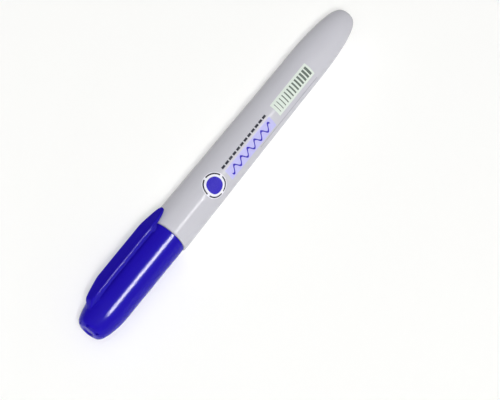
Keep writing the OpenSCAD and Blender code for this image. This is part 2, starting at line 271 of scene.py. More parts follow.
def moulded_polypropylene(name, colour, streak, roughness, spread, unevenness, shine):
    """Plastic that goes from colour to streak along the melt's flow; its roughness varies by spread."""
    material, tree, shader, place = new_material(name)
    stretch = (1 / (FLOW_LENGTH * MM), 1 / (FLOW_WIDTH * MM), 1 / (FLOW_WIDTH * MM))
    flow_place = add_node(tree, "ShaderNodeMapping", {"Vector": place, "Scale": stretch})
    flow = add_node(tree, "ShaderNodeTexNoise",
                    {"Vector": flow_place.outputs["Vector"], "Scale": 1.0, "Detail": 3.0})
    tone = add_node(tree, "ShaderNodeMix",
                    {"Factor": flow.outputs["Fac"], "A": linear(colour), "B": linear(streak)},
                    data_type="RGBA")
    polish = add_node(tree, "ShaderNodeTexNoise",
                      {"Vector": place, "Scale": 1 / (POLISH_SIZE * MM), "Detail": 2.0})
    gloss = add_node(tree, "ShaderNodeMapRange",
                     {"Value": polish.outputs["Fac"], "From Min": NOISE_LOW, "From Max": NOISE_HIGH,
                      "To Min": roughness - spread, "To Max": roughness + spread})
    dents = add_node(tree, "ShaderNodeBump",
                     {"Height": polish.outputs["Fac"], "Strength": 1.0, "Distance": unevenness * MM})
    tree.links.new(tone.outputs["Result"], shader.inputs["Base Color"])
    tree.links.new(gloss.outputs["Result"], shader.inputs["Roughness"])
    tree.links.new(dents.outputs["Normal"], shader.inputs["Normal"])
    shader.inputs["IOR"].default_value = PP_IOR
    shader.inputs["Specular IOR Level"].default_value = shine
    return material


barrel_plastic = moulded_polypropylene("moulded_polypropylene_pale_grey", "#c5c5cb", "#c1c0c8",
                                       roughness=0.13, spread=0.02, unevenness=0.0002, shine=0.03)
blue_plastic = moulded_polypropylene("polished_moulded_polypropylene_blue", "#2113a8", "#1e11a0",
                                     roughness=0.16, spread=0.02, unevenness=0.0002, shine=0.1)
print("plastics:", barrel_plastic.name, blue_plastic.name)

# %% [markdown]
# ## Fibre and film
# The nib and the ink store are bundles of polyester fibre, glued together and soaked with ink. Light
# sinks in between the fibres, so there is almost no gloss, only fine streaks along the axis. The colour
# of those streaks follows their height: the ridges are painted lighter, a painted sheen, and the furrows
# darker, a painted shade. Real fibres are about 0.03 mm thick. They are drawn 0.15 mm wide, so that they
# show. The store is wrapped in a thin clear film.

# %% Ink-soaked fibre and clear film
FIBRE_LENGTH, FIBRE_WIDTH, FURROW_DEPTH, FIBRE_SHINE = 6.0, 0.15, 0.03, 0.04


def bonded_fibre(name, colour, painted_sheen, roughness):
    """Fibre bundle: noise stretched along the axis gives the furrows, and its colour is painted lighter on the
    ridges as a painted sheen and darker in the furrows as painted shade.
    """
    material, tree, shader, place = new_material(name)
    stretch = (1 / (FIBRE_LENGTH * MM), 1 / (FIBRE_WIDTH * MM), 1 / (FIBRE_WIDTH * MM))
    fibre_place = add_node(tree, "ShaderNodeMapping", {"Vector": place, "Scale": stretch})
    fibres = add_node(tree, "ShaderNodeTexNoise",
                      {"Vector": fibre_place.outputs["Vector"], "Scale": 1.0, "Detail": 3.0})
    # The ridges take the second colour and the furrows the first: a painted sheen and painted shade along the
    # fibres.
    tone = add_node(tree, "ShaderNodeMix",
                    {"Factor": fibres.outputs["Fac"], "A": linear(colour), "B": linear(painted_sheen)},
                    data_type="RGBA")
    furrows = add_node(tree, "ShaderNodeBump",
                       {"Height": fibres.outputs["Fac"], "Strength": 1.0, "Distance": FURROW_DEPTH * MM})
    tree.links.new(tone.outputs["Result"], shader.inputs["Base Color"])
    tree.links.new(furrows.outputs["Normal"], shader.inputs["Normal"])
    shader.inputs["Roughness"].default_value = roughness
    shader.inputs["Specular IOR Level"].default_value = FIBRE_SHINE
    return material


# The second colour of each fibre material is the painted sheen on the fibre ridges.
nib_fibre = bonded_fibre("bonded_polyester_fibre_inked", "#0c0838", "#1c1460", roughness=0.7)
store_fibre = bonded_fibre("polyester_fibre_store_inked", "#2c2678", "#4a429a", roughness=0.85)

FILM_WRINKLE, FILM_CREASE, FILM_CLEAR, FILM_ROUGHNESS = 3.0, 0.02, 0.8, 0.12
clear_film, film_tree, film_shader, film_place = new_material("clear_polypropylene_film")
wrinkle = add_node(film_tree, "ShaderNodeTexNoise",
                   {"Vector": film_place, "Scale": 1 / (FILM_WRINKLE * MM)})
creases = add_node(film_tree, "ShaderNodeBump",
                   {"Height": wrinkle.outputs["Fac"], "Distance": FILM_CREASE * MM})
film_tree.links.new(creases.outputs["Normal"], film_shader.inputs["Normal"])
film_shader.inputs["Base Color"].default_value = linear("#e6e8ef")
film_shader.inputs["Transmission Weight"].default_value = FILM_CLEAR
film_shader.inputs["Roughness"].default_value = FILM_ROUGHNESS
film_shader.inputs["IOR"].default_value = PP_IOR
print("fibres and film:", nib_fibre.name, store_fibre.name, clear_film.name)

# %% [markdown]
# ## The hidden pieces
# The ink store, its film and the inner cap are plain turned forms deep inside the marker, and the CAD
# meshes are right as they are. They stay, and only get the finishes above.

# %% Finishes for the CAD nodes that stay
kept_finishes = {"reservoir_core": store_fibre, "reservoir_wrap": clear_film, "inner_cap": blue_plastic}
for node_name, finish in kept_finishes.items():
    mesh = frame["nodes"][node_name].data
    mesh.materials.clear()
    mesh.materials.append(finish)
print("kept from CAD:", sorted(kept_finishes))

# %% [markdown]
# ## The barrel
# The barrel is one moulding: a tube that narrows a little towards its tail and closes there in a blunt
# dome. A cylinder with a sphere would give a dome that is too pointed. The tail's radius follows
# (1 - share ** 1.6) ** 0.26 of the straight radius, which stays wide for most of its length and then
# closes quickly. The same line runs back inside, so the wall has its real thickness at the rim.

# %% Barrel
WALL, TAIL_WALL, RIM_ROUND = 1.6, 1.6, 0.5
TAIL_LEN, TAIL_STRAIGHT = 22.0, 8.0
TAIL_SHAPE, TAIL_BLUNT, DOME_STEPS = 1.6, 0.26, 36
tail_start = TAIL_LEN - barrel_len
taper_end = tail_start + TAIL_STRAIGHT
bore_r, tail_bore_r = front_r - WALL, tail_r - WALL


def dome(share, shape, blunt):
    """Radius of a domed end as a share of its start: (1 - share ** shape) ** blunt."""
    return (1 - share ** shape) ** blunt


def tail_line(radius, length):
    """Line of the tail's dome from its tip to its start, with points closer together near the tip."""
    share = 1 - np.linspace(0, 1, DOME_STEPS + 1) ** 3
    return np.stack([tail_start - length * share, radius * dome(share, TAIL_SHAPE, TAIL_BLUNT)], axis=1)


def barrel_radius(behind):
    """Radius of the barrel's outside at a distance behind the rim: a straight taper, then constant."""
    return np.interp(behind, [0, -taper_end], [front_r, tail_r])


outside = rounded_line([(tail_start, tail_r), (taper_end, tail_r), (0, front_r, RIM_ROUND), (0, bore_r)])
inside = rounded_line([
    (0, bore_r), (nose_back, bore_r), (taper_end, tail_bore_r), (tail_start, tail_bore_r)])
barrel_line = np.concatenate([
    tail_line(tail_r, TAIL_LEN), outside[1:], inside[1:-1],
    tail_line(tail_bore_r, TAIL_LEN - TAIL_WALL)[::-1]])
barrel = turned_piece("barrel_moulding", barrel_line, barrel_plastic)
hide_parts("barrel")
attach(barrel, "barrel")

# %% [markdown]
# ## The nose section
# Under the cap sits the blue nose: a plug in the barrel, a collar that the cap snaps over, a grip with a
# small bead, a shoulder, and a cone that holds the nib. It is one turned line from the plug over the
# outside to the cone's end and back through the bore. Three grooves in the bore let air in beside the
# nib as ink leaves. They are made by letting the bore's radius depend on the angle.

# %% Nose section
COLLAR_LEN, GRIP_STEP, SHOULDER_X, CONE_X, CONE_BASE_R, CONE_TIP_R = 2.2, 0.5, 18.1, 20.6, 3.95, 3.1
NOSE_WALL, PLUG_FIT, SEAT_AIR, SEAT_X = 1.4, 0.02, 0.25, -3.0
BEAD_X, BEAD_W, BEAD_H = 4.6, 1.2, 0.2
GROOVES, GROOVE_W, GROOVE_DEPTH = 3, 0.7, 0.4
PLUG_ROUND, SEAT_ROUND, COLLAR_ROUND, STEP_ROUND, BEAD_ROUND = 0.4, 0.1, 0.25, 0.15, 0.15
SHOULDER_ROUND, CONE_ROUND, CONE_END_ROUND = 0.83, 0.62, 0.4
nib_r, collar_r = reach("nib")[1, 1], reach("nose_section")[1, 1]
plug_r, seat_r = bore_r - PLUG_FIT, tail_bore_r - SEAT_AIR
grip_r = collar_r - GRIP_STEP
hollow_r = grip_r - NOSE_WALL
nose_outside = [
    (nose_back, seat_r), (nose_back, plug_r, PLUG_ROUND), (0, plug_r), (0, collar_r, SEAT_ROUND),
    (COLLAR_LEN, collar_r, COLLAR_ROUND), (COLLAR_LEN, grip_r, STEP_ROUND), (BEAD_X, grip_r),
    (BEAD_X + BEAD_W / 4, grip_r + BEAD_H, BEAD_ROUND),
    (BEAD_X + BEAD_W * 3 / 4, grip_r + BEAD_H, BEAD_ROUND), (BEAD_X + BEAD_W, grip_r),
    (SHOULDER_X, grip_r, SHOULDER_ROUND), (CONE_X, CONE_BASE_R, CONE_ROUND),
    (nose_end, CONE_TIP_R, CONE_END_ROUND), (nose_end, nib_r)]
nose_inside = [
    (nose_end, nib_r), (SHOULDER_X, nib_r), (SHOULDER_X - hollow_r + nib_r, hollow_r),
    (SEAT_X, hollow_r), (SEAT_X, seat_r), (nose_back, seat_r)]
front_line, bore_line = rounded_line(nose_outside), rounded_line(nose_inside)
nose_line = np.concatenate([front_line, bore_line[1:]])
in_bore = (np.abs(nose_line[:, 1] - nib_r) < SAME_POINT) & (nose_line[:, 0] > SHOULDER_X - SAME_POINT)
from_groove = (TURN * GROOVES + np.pi) % (2 * np.pi) - np.pi
in_groove = np.abs(from_groove) * nib_r / GROOVES < GROOVE_W / 2
nose_radius = nose_line[:, 1:] + GROOVE_DEPTH * (in_bore[:, None] & in_groove[None])
nose_points = around(nose_line[:, :1], nose_radius, TURN[None])
nose = mesh_piece("nose_moulding", nose_points, grid_faces(len(nose_line), TURN_STEPS), blue_plastic)
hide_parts("nose_section")
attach(nose, "barrel")

# %% [markdown]
# ## The nib
# The nib is a fibre rod ground to a bullet. Its point follows the same kind of dome as the tail, with an
# exponent of 0.62, which makes it slimmer. A worn nib would be flatter, and this one is fresh.

# %% Nib
POINT_LEN, POINT_SHAPE, POINT_BLUNT = 5.5, 1.6, 0.62
point_share = 1 - np.linspace(1, 0, DOME_STEPS + 1) ** 3
point_line = np.stack([nib_tip - POINT_LEN * (1 - point_share),
                       nib_r * dome(point_share, POINT_SHAPE, POINT_BLUNT)], axis=1)
rod_line = rounded_line([(nib_back, 0), (nib_back, nib_r, nib_r / 3), (nib_tip - POINT_LEN, nib_r)])
nib = turned_piece("fibre_nib", np.concatenate([rod_line, point_line[1:]]), nib_fibre)
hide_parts("nib")
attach(nib, "barrel")

# %% [markdown]
# ## The cap
# The cap is a thin thimble with a crown that curves in to a flat, slightly dished end. Six vents pierce
# the edge of that end: they let air through if a child swallows the cap. A Boolean could cut them, but
# it leaves long thin faces that spoil the gloss. Here both skins are grids with the same columns, so a
# vent is made by leaving out the same block of faces in the outer and the inner skin, and by joining the
# two rims with walls.

# %% Lines of the cap's two skins
LIP_FIT, LIP_WALL, LIP_LEN, CAP_TAPER, GRIP_AIR = 0.1, 0.75, 6.5, 0.1, 0.2
CROWN_LEN, CROWN_END_R, CROWN_WALL = 11.8, 4.5, 1.0
CROWN_ROUND, DISH_R, DISH_DEPTH, MOUTH_ROUND = 2.8, 2.0, 0.3, 0.2
DISH_ROUND, FLOOR_ROUND, FLOOR_MARGIN = 0.1, 0.1, 0.3
CROWN_STEPS, CAP_STEP = 24, 1.0
lip_r, cap_bore_r = collar_r + LIP_FIT, grip_r + GRIP_AIR
mouth_r = lip_r + LIP_WALL
crown_r = mouth_r - CAP_TAPER
crown_x, crown_floor = cap_end - CROWN_LEN, cap_end - CROWN_WALL
crown_drop = crown_r - CROWN_END_R
crown_bend = (CROWN_LEN ** 2 + crown_drop ** 2) / (2 * crown_drop)
wall = crown_r - cap_bore_r


def crown_radius(distance):
    """Radius of the cap's outside: a straight taper, then an arc that leaves it smoothly and turns in."""
    taper = np.interp(distance, [mouth_x, crown_x], [mouth_r, crown_r])
    past = np.clip(distance - crown_x, 0, CROWN_LEN)
    return taper - (crown_bend - np.sqrt(crown_bend ** 2 - past ** 2))


def crown_corners(end_x, inset):
    """Points of the crown's arc from end_x back to the straight side, moved inwards by inset."""
    distance = np.linspace(end_x, crown_x, CROWN_STEPS)
    return list(zip(distance, crown_radius(distance) - inset))


outer_skin = rounded_line([
    (cap_end - DISH_DEPTH, 0), (cap_end - DISH_DEPTH, DISH_R - DISH_DEPTH, DISH_ROUND),
    (cap_end, DISH_R, DISH_ROUND), (cap_end, CROWN_END_R, CROWN_ROUND),
    *crown_corners(cap_end - CROWN_ROUND, 0),
    (mouth_x, mouth_r, MOUTH_ROUND), (mouth_x, lip_r)], longest=CAP_STEP)
inner_skin = rounded_line([
    (crown_floor, 0), (crown_floor, crown_radius(crown_floor) - wall, FLOOR_ROUND),
    *crown_corners(crown_floor - FLOOR_MARGIN, wall),
    (LIP_LEN + lip_r - cap_bore_r, cap_bore_r), (LIP_LEN, lip_r), (mouth_x, lip_r)], longest=CAP_STEP)
print("cap skins:", len(outer_skin), "and", len(inner_skin), "rows")

# %% Cap with its vents
VENTS, VENT_ROWS, VENT_COLUMNS = 6, 13, 10
VENT_INNER_R, VENT_OUTER_R = 3.35, 4.4


def parted(skin, from_r, to_r):
    """A skin in three stretches: the rows inside from_r, VENT_ROWS even rows up to to_r, and the rest."""
    rising = skin[:np.argmax(skin[:, 1]) + 1]
    lengths = lengths_along(skin)
    start, end = np.interp([from_r, to_r], rising[:, 1], lengths[:len(rising)])
    vent_rows = points_at(skin, np.linspace(start, end, VENT_ROWS))
    return skin[lengths < start - HOLD], vent_rows, skin[lengths > end + HOLD]


outer_hub, outer_vent, outer_side = parted(outer_skin, VENT_INNER_R, VENT_OUTER_R)
inner_hub, inner_vent, inner_side = parted(inner_skin, VENT_INNER_R, VENT_OUTER_R)
cap_line = np.concatenate([
    outer_hub, outer_vent, outer_side, inner_side[::-1][1:], inner_vent[::-1], inner_hub[::-1]])
cap_points = around(cap_line[:, :1], cap_line[:, 1:], (TURN + clip_turn)[None])
outer_rows = len(outer_hub) + np.arange(VENT_ROWS)
inner_rows = len(cap_line) - len(inner_hub) - 1 - np.arange(VENT_ROWS)
vent_start = (np.arange(VENTS) * 2 + 1) * TURN_STEPS // (2 * VENTS) - VENT_COLUMNS // 2
vent_columns = vent_start[:, None] + np.arange(VENT_COLUMNS)[None]
skin_faces = grid_faces(len(cap_line), TURN_STEPS)
kept = np.ones(skin_faces.shape[:2], bool)
kept[np.ix_(outer_rows[:-1], vent_columns.ravel())] = False
kept[np.ix_(inner_rows[1:], vent_columns.ravel())] = False


def number(row, column):
    """Number of the cap's point at a row and a column."""
    return row * TURN_STEPS + column


def wall_faces(outer_a, outer_b, inner_a, inner_b):
    """Faces that join two neighbours on a vent's outer rim with the two behind them on its inner rim."""
    return np.stack(np.broadcast_arrays(outer_a, outer_b, inner_b, inner_a), axis=-1).reshape(-1, 4)


flanks = np.stack([vent_start, vent_start + VENT_COLUMNS], axis=1).reshape(-1, 1)
flank_faces = wall_faces(number(outer_rows[None, :-1], flanks), number(outer_rows[None, 1:], flanks),
                         number(inner_rows[None, :-1], flanks), number(inner_rows[None, 1:], flanks))
ends = np.array([0, -1])[:, None, None]
left, right = vent_columns[None], vent_columns[None] + 1
end_faces = wall_faces(number(outer_rows[ends], left), number(outer_rows[ends], right),
                       number(inner_rows[ends], left), number(inner_rows[ends], right))
cap_faces = np.concatenate([skin_faces[kept], flank_faces, end_faces])
cap = mesh_piece("cap_moulding", cap_points, cap_faces, blue_plastic)
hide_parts("cap_shell")
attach(cap, "cap")

# %% [markdown]
# ## The ribs inside the cap
# Six ribs inside the crown hold the inner cap. Each is a small bar: a four-cornered section carried
# along the axis, with its inner edge on the inner cap and its outer edge sunk in the wall. `lofted_piece`
# carries any closed section along a path, and closes both ends by drawing them in to their middle.

# %% Ribs of the cap
RIBS, RIB_T, RIB_LEN, RIB_SUNK, INNER_END_R = 6, 0.8, 11.0, 0.2, 3.75


def lofted_piece(name, sections, material):
    """Closed bars from sections[bar, station, corner, xyz]: each end gets a row drawn in to its middle."""
    middles = sections.mean(axis=2, keepdims=True)
    closed = np.concatenate([
        np.broadcast_to(middles[:, :1], sections[:, :1].shape), sections,
        np.broadcast_to(middles[:, -1:], sections[:, -1:].shape)], axis=1)
    bars, rows, corners = closed.shape[:3]
    faces = grid_faces(rows, corners)[None] + (np.arange(bars) * rows * corners)[:, None, None, None]
    return mesh_piece(name, closed, faces, material)


rib_x = crown_floor + np.array([-RIB_LEN, -RIB_LEN / 2, -RIB_LEN / 4, RIB_SUNK])
rib_inner = np.interp(rib_x, [nose_end, crown_floor], [reach("inner_cap")[1, 1], INNER_END_R])
rib_outer = crown_radius(rib_x) - wall / 2
rib_radius = np.stack([rib_inner, rib_outer, rib_outer, rib_inner], axis=1)
rib_side = np.array([-1, -1, 1, 1]) * RIB_T / 2
rib_angle = clip_turn + np.arange(RIBS)[:, None, None] * 2 * np.pi / RIBS
rib_points = around(rib_x[None, :, None], rib_radius[None], rib_angle + rib_side / rib_radius[None])
ribs = lofted_piece("cap_ribs", rib_points, blue_plastic)
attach(ribs, "cap")

# %% [markdown]
# ## The clip
# The clip is moulded in one with the cap: it rises out of the crown, runs along the cap and ends past
# the mouth in a narrow, lifted tip that leads a pocket's edge in. A bead under it grips that edge. The
# CAD model splits it from the cap where it flexes, because a joint needs two bodies. Its section is a
# box with rounded edges. Its top and bottom follow two lines, and its width follows a dome towards the
# tip and another towards the foot.

# %% Lines of the clip
CLIP_W, CLIP_T, CLIP_GAP, CLIP_BEND, EDGE_ROUND = 5.5, 1.75, 0.95, 7.9, 0.5
TIP_LEN, TIP_T, TIP_DROP = 9.0, 0.55, 0.6
CLIP_BEAD_IN, CLIP_BEAD_LEN, BEAD_GAP = 1.2, 3.0, 0.15
KNEE, KNEE_BEND, HEEL, HEEL_DROP, HEEL_BEND = 6.0, 18.0, 2.2, 0.4, 2.2
FOOT, FOOT_LEN, ROOT_SUNK, ROOT_GAP = 4.5, 10.0, 0.5, 0.25
CLIP_STEP, END_LEN, END_STEPS = 0.4, 1.2, 14
ARM_STEP, ROOT_STEP, ROOT_BEFORE = 0.2, 0.12, 1.0
clip_under, clip_bead = mouth_r + CLIP_GAP, mouth_r + BEAD_GAP
clip_back = clip_under + CLIP_T
tip_back = clip_back - TIP_DROP
tip_under = tip_back - TIP_T
clip_bead_x = mouth_x + CLIP_BEAD_IN
knee_x, heel_x, foot_x = flex_x - KNEE, flex_x + HEEL, cap_end - FOOT
back_line = rounded_line([
    (tip_x, tip_back), (tip_x + CLIP_BEND, clip_back, CLIP_BEND / 2),
    (knee_x, clip_back, KNEE_BEND), (flex_x, root_back), (heel_x, root_back - HEEL_DROP, HEEL_BEND),
    (foot_x, crown_radius(foot_x) - ROOT_SUNK / 2)], longest=CLIP_STEP)
under_line = rounded_line([
    (tip_x, tip_under), (clip_bead_x, (clip_under + tip_under) / 2, TIP_T / 2),
    (clip_bead_x + CLIP_BEAD_LEN / 3, clip_bead, TIP_T / 2),
    (clip_bead_x + CLIP_BEAD_LEN * 2 / 3, clip_bead, TIP_T / 2),
    (clip_bead_x + CLIP_BEAD_LEN, clip_under, TIP_T / 2),
    (knee_x, clip_under, 2 * KNEE), (flex_x - ROOT_GAP, crown_radius(flex_x) + ROOT_GAP, ROOT_GAP),
    (flex_x, crown_radius(flex_x) - ROOT_SUNK)], longest=CLIP_STEP)
closing = END_LEN * np.linspace(0, 1, END_STEPS) ** 3
arm_places = np.arange(tip_x + END_LEN + ARM_STEP, flex_x - ROOT_BEFORE - ARM_STEP, ARM_STEP)
root_places = np.arange(flex_x - ROOT_BEFORE, foot_x - END_LEN - ROOT_STEP / 2, ROOT_STEP)
clip_places = np.concatenate([tip_x + closing, arm_places, root_places, foot_x - closing[::-1]])
print("clip stations:", len(clip_places))

# %% Clip
EDGE_STEPS, UNDER_ROUND, BACK_SHARE, UNDER_SHARE = 7, 0.15, 0.95, 0.3
NARROW_SHAPE, NARROW_BLUNT, LEAST_SHARE = 1.0, 0.36, 2e-4
back = np.interp(clip_places, back_line[:, 0], back_line[:, 1])
under = np.interp(clip_places, under_line[:, 0], under_line[:, 1])
under = np.where(clip_places > flex_x, crown_radius(clip_places) - ROOT_SUNK, under)
from_end = np.minimum((clip_places - tip_x) / TIP_LEN, (foot_x - clip_places) / FOOT_LEN)
half_width = CLIP_W / 2 * dome(1 - np.clip(from_end, LEAST_SHARE, 1), NARROW_SHAPE, NARROW_BLUNT)
thin = np.minimum(half_width, (back - under) / 2)
back_round = np.minimum(EDGE_ROUND, BACK_SHARE * thin)
under_round = np.minimum(UNDER_ROUND, UNDER_SHARE * thin)
# A section goes once round four edges. Each is an arc, with a holding point before and after it.
quarter = np.linspace(0, np.pi / 2, EDGE_STEPS)
edge_angle = np.concatenate([[quarter[0]], quarter, [quarter[-1]]])
held = np.zeros(EDGE_STEPS + 2)
held[0], held[-1] = -1, 1
corner_turn = np.concatenate([edge_angle + k * np.pi / 2 for k in range(4)])
corner_hold = np.tile(held, 4) * HOLD
side = np.repeat([1, -1, -1, 1], EDGE_STEPS + 2)
upper = np.repeat([True, True, False, False], EDGE_STEPS + 2)
edge = np.where(upper, back_round[:, None], under_round[:, None])
centre_w = side * (half_width[:, None] - edge)
centre_h = np.where(upper, back[:, None] - edge, under[:, None] + edge)
across = centre_w + edge * np.cos(corner_turn) - corner_hold * np.sin(corner_turn)
height = centre_h + edge * np.sin(corner_turn) + corner_hold * np.cos(corner_turn)
# Towards the foot it wraps round the crown: a point's height becomes its distance from the axis.
arched = np.interp(clip_places, [heel_x, foot_x], [0, 1])[:, None]
height = height - arched * (height - np.sqrt(height ** 2 - across ** 2))
clip_points = around(clip_places[:, None], np.hypot(across, height), clip_turn + np.arctan2(across, height))
clip = lofted_piece("clip_arm", clip_points[None], blue_plastic)
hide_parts("pocket_clip")
BEND_AFTER, BEND_BEFORE = 1.0, 4.0
tuple(around(flex_x + BEND_AFTER, root_back, clip_turn))
tuple(around(flex_x - BEND_BEFORE, root_back, clip_turn))
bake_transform(clip)

# %% [markdown]
# ## The print on the barrel
# Barrels like this are pad printed: a soft pad lays a film of ink about a hundredth of a millimetre thick
# on the curved plastic. The design here is a plain one of its own: an ink-colour disc in a ring on a
# white field, a pale band with a wavy stroke that shows the colour, a row of dashes, a thin rule and a
# scale of line widths. A texture could carry it, but films made as meshes keep crisp edges at any
# distance. Each is a grid of places behind the rim and round the barrel. Its top lies a hair above the
# plastic, twice that where it is printed on another ink, and its bottom a hair below. The two meet
# along the edge, so each film is a closed shell.

# %% Printing ink
INK_MOTTLE, INK_SHINE = 0.4, 0.006
INK_SMOOTH, INK_ROUGH = 0.36, 0.5


def printing_ink(name, colour, worn):
    """Pad printing ink: nearly flat colour with a fine mottle, duller than the plastic under it."""
    material, tree, shader, place = new_material(name)
    mottle = add_node(tree, "ShaderNodeTexNoise",
                      {"Vector": place, "Scale": 1 / (INK_MOTTLE * MM), "Detail": 2.0})
    tone = add_node(tree, "ShaderNodeMix",
                    {"Factor": mottle.outputs["Fac"], "A": linear(colour), "B": linear(worn)},
                    data_type="RGBA")
    gloss = add_node(tree, "ShaderNodeMapRange",
                     {"Value": mottle.outputs["Fac"], "To Min": INK_SMOOTH, "To Max": INK_ROUGH})
    tree.links.new(tone.outputs["Result"], shader.inputs["Base Color"])
    tree.links.new(gloss.outputs["Result"], shader.inputs["Roughness"])
    shader.inputs["Specular IOR Level"].default_value = INK_SHINE
    return material


blue_ink = printing_ink("pad_printing_ink_blue", "#382eb2", "#463dbc")
white_ink = printing_ink("pad_printing_ink_white", "#eeeef4", "#e6e6ee")
lavender_ink = printing_ink("pad_printing_ink_lavender", "#b9b7e6", "#c1bfe9")
black_ink = printing_ink("pad_printing_ink_black", "#33333b", "#45454e")
grey_ink = printing_ink("pad_printing_ink_grey", "#9a9aa6", "#a4a4b0")
mint_ink = printing_ink("pad_printing_ink_pale_mint", "#dce4dc", "#d4ddd5")
moss_ink = printing_ink("pad_printing_ink_moss", "#5e6a62", "#6b766e")
inks = [blue_ink, white_ink, lavender_ink, black_ink, grey_ink, mint_ink, moss_ink]
print("inks:", [ink.name for ink in inks])

# %% Films of ink
PRINT_MIDDLE = np.radians(29)
FILM_EDGE, FILM_UNDER = 0.04, 0.02
FILM_HEIGHT = 0.014


def shares(count):
    """Numbers from -1 to 1: count even ones, and the two ends close outside them."""
    even = np.linspace(-1 + FILM_EDGE, 1 - FILM_EDGE, count)
    return np.concatenate([[-1], even, [1]])


def ink_film(name, behind, across, material, layer=1):
    """Closed films from grids [film, row, column]: behind the rim, and across the print's middle line.

    Both are in millimetres. The angle is the arc length across divided by the radius there. Top and
    bottom lie above and below the plastic inside the grid and at its own radius along the edge.
    """
    behind, across = np.broadcast_arrays(behind, across)
    films, rows, columns = behind.shape
    radius = barrel_radius(behind)
    angle = PRINT_MIDDLE + across / radius
    raised = np.zeros((rows, columns))
    raised[1:-1, 1:-1] = 1
    top = around(-behind, radius + FILM_HEIGHT * layer * raised, angle)
    bottom = around(-behind, radius - FILM_UNDER * raised, angle)
    faces = grid_faces(rows, columns, wrapped=False).reshape(-1, 4)
    count = films * rows * columns
    film_faces = (faces[None] + (np.arange(films) * rows * columns)[:, None, None]).reshape(-1, 4)
    both = np.concatenate([film_faces, film_faces + count])
    film = mesh_piece(name, np.concatenate([top.reshape(-1, 3), bottom.reshape(-1, 3)]), both, material)
    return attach(film, "barrel")


def block(start, end, low, high, rows, columns):
    """Grid of a block between two places behind the rim and two across."""
    along, wide = shares(rows)[:, None], shares(columns)[None]
    behind = (start + end) / 2 + along * (end - start) / 2
    return behind, (low + high) / 2 + wide * (high - low) / 2


print("one film of ink stands", FILM_HEIGHT, "mm above the plastic")

# %% Ink-colour disc and its ring
DISC_AT, DISC_R, RING_R, RING_W, DISC_FIELD_R = 21.2, 2.9, 3.9, 0.5, 4.4
DISC_STEPS, RING_ARCS, RING_PARTS, RING_ROWS = 28, 4, 4.6, 3
# A square becomes a disc: each share is multiplied by the root of 1 less half the other's square.
along_share, across_share = shares(DISC_STEPS)[:, None], shares(DISC_STEPS)[None]
disc_along = along_share * np.sqrt(1 - across_share ** 2 / 2)
disc_across = across_share * np.sqrt(1 - along_share ** 2 / 2)
ink_film("print_disc_field", (DISC_AT + DISC_FIELD_R * disc_along)[None],
         (DISC_FIELD_R * disc_across)[None], white_ink)
ink_film("print_colour_disc", (DISC_AT + DISC_R * disc_along)[None], (DISC_R * disc_across)[None], blue_ink,
         layer=2)
ring_turn = np.linspace(0, 2 * np.pi, RING_ARCS, endpoint=False)[:, None, None]
ring_angle = ring_turn + (along_share[None] + 1) * np.pi / RING_PARTS
ring_radius = RING_R + shares(RING_ROWS)[None, None] * RING_W / 2
ink_film("print_disc_ring", DISC_AT + ring_radius * np.cos(ring_angle), ring_radius * np.sin(ring_angle),
         black_ink, layer=2)

# %% Band with a wavy stroke
BAND_START, BAND_END, BAND_LOW, BAND_HIGH = 27.0, 51.0, -0.4, 3.8
WAVES, WAVE_HIGH, STROKE_W = 6, 1.05, 0.8
BAND_ROWS, BAND_COLUMNS, WAVE_ROWS, WAVE_COLUMNS, WAVE_MARGIN = 60, 16, 240, 5, 2.0
band_behind, band_across = block(BAND_START, BAND_END, BAND_LOW, BAND_HIGH, BAND_ROWS, BAND_COLUMNS)
ink_film("print_band", band_behind[None], band_across[None], lavender_ink)
wave_share = shares(WAVE_ROWS)[:, None]
wave_behind = (BAND_START + BAND_END) / 2 + wave_share * (BAND_END - BAND_START - WAVE_MARGIN) / 2
wave_across = (BAND_LOW + BAND_HIGH) / 2 + WAVE_HIGH * np.sin(wave_share * WAVES * np.pi)
ink_film("print_wave", wave_behind[None],
         (wave_across + shares(WAVE_COLUMNS)[None] * STROKE_W / 2)[None], blue_ink, layer=2)

# %% Row of dashes and thin rule
DASHES, DASH_LEN, DASH_STEP, DASH_W, DASH_AT = 12, 1.5, 2.0, 0.8, -1.6
RULE_START, RULE_END, RULE_LOW, RULE_HIGH = 42.0, 73.0, 4.5, 4.75
dash_behind, dash_across = block(0, DASH_LEN, -DASH_W / 2, DASH_W / 2, rows=6, columns=4)
dash_start = BAND_START + np.arange(DASHES)[:, None, None] * DASH_STEP
ink_film("print_dashes", dash_start + dash_behind[None], dash_across[None] + DASH_AT, black_ink)
rule_behind, rule_across = block(RULE_START, RULE_END, RULE_LOW, RULE_HIGH, rows=60, columns=3)
ink_film("print_rule", rule_behind[None], rule_across[None], grey_ink)

# %% Scale of line widths
FIELD_START, FIELD_END, FIELD_LOW, FIELD_HIGH = 54.0, 73.0, -2.4, 2.6
BARS, BAR_THIN, BAR_WIDE, BAR_MARGIN, BAR_HALF = 13, 0.25, 0.95, 1.2, 1.7
BAR_ROWS, BAR_COLUMNS = 4, 14
field_behind, field_across = block(FIELD_START, FIELD_END, FIELD_LOW, FIELD_HIGH, rows=48, columns=20)
ink_film("print_scale_field", field_behind[None], field_across[None], mint_ink)
bar_width = np.linspace(BAR_THIN, BAR_WIDE, BARS)[:, None, None]
bar_at = np.linspace(FIELD_START + BAR_MARGIN, FIELD_END - BAR_MARGIN, BARS)[:, None, None]
bar_behind = bar_at + shares(BAR_ROWS)[None, :, None] * bar_width / 2
bar_across = (FIELD_LOW + FIELD_HIGH) / 2 + shares(BAR_COLUMNS)[None, None] * BAR_HALF
ink_film("print_scale_bars", bar_behind, bar_across, moss_ink, layer=2)

# %% [markdown]
# ## The table
# The marker lies on a white sheet. Paper this evenly white in a photograph is over-lit, so about a third
# of it glows, with a strength of 1 for the camera and for reflections. The other two thirds are diffuse
# paper, which catches the marker's shadow. For light that bounces from the sheet up to the marker, the
# glow has a strength of its own.

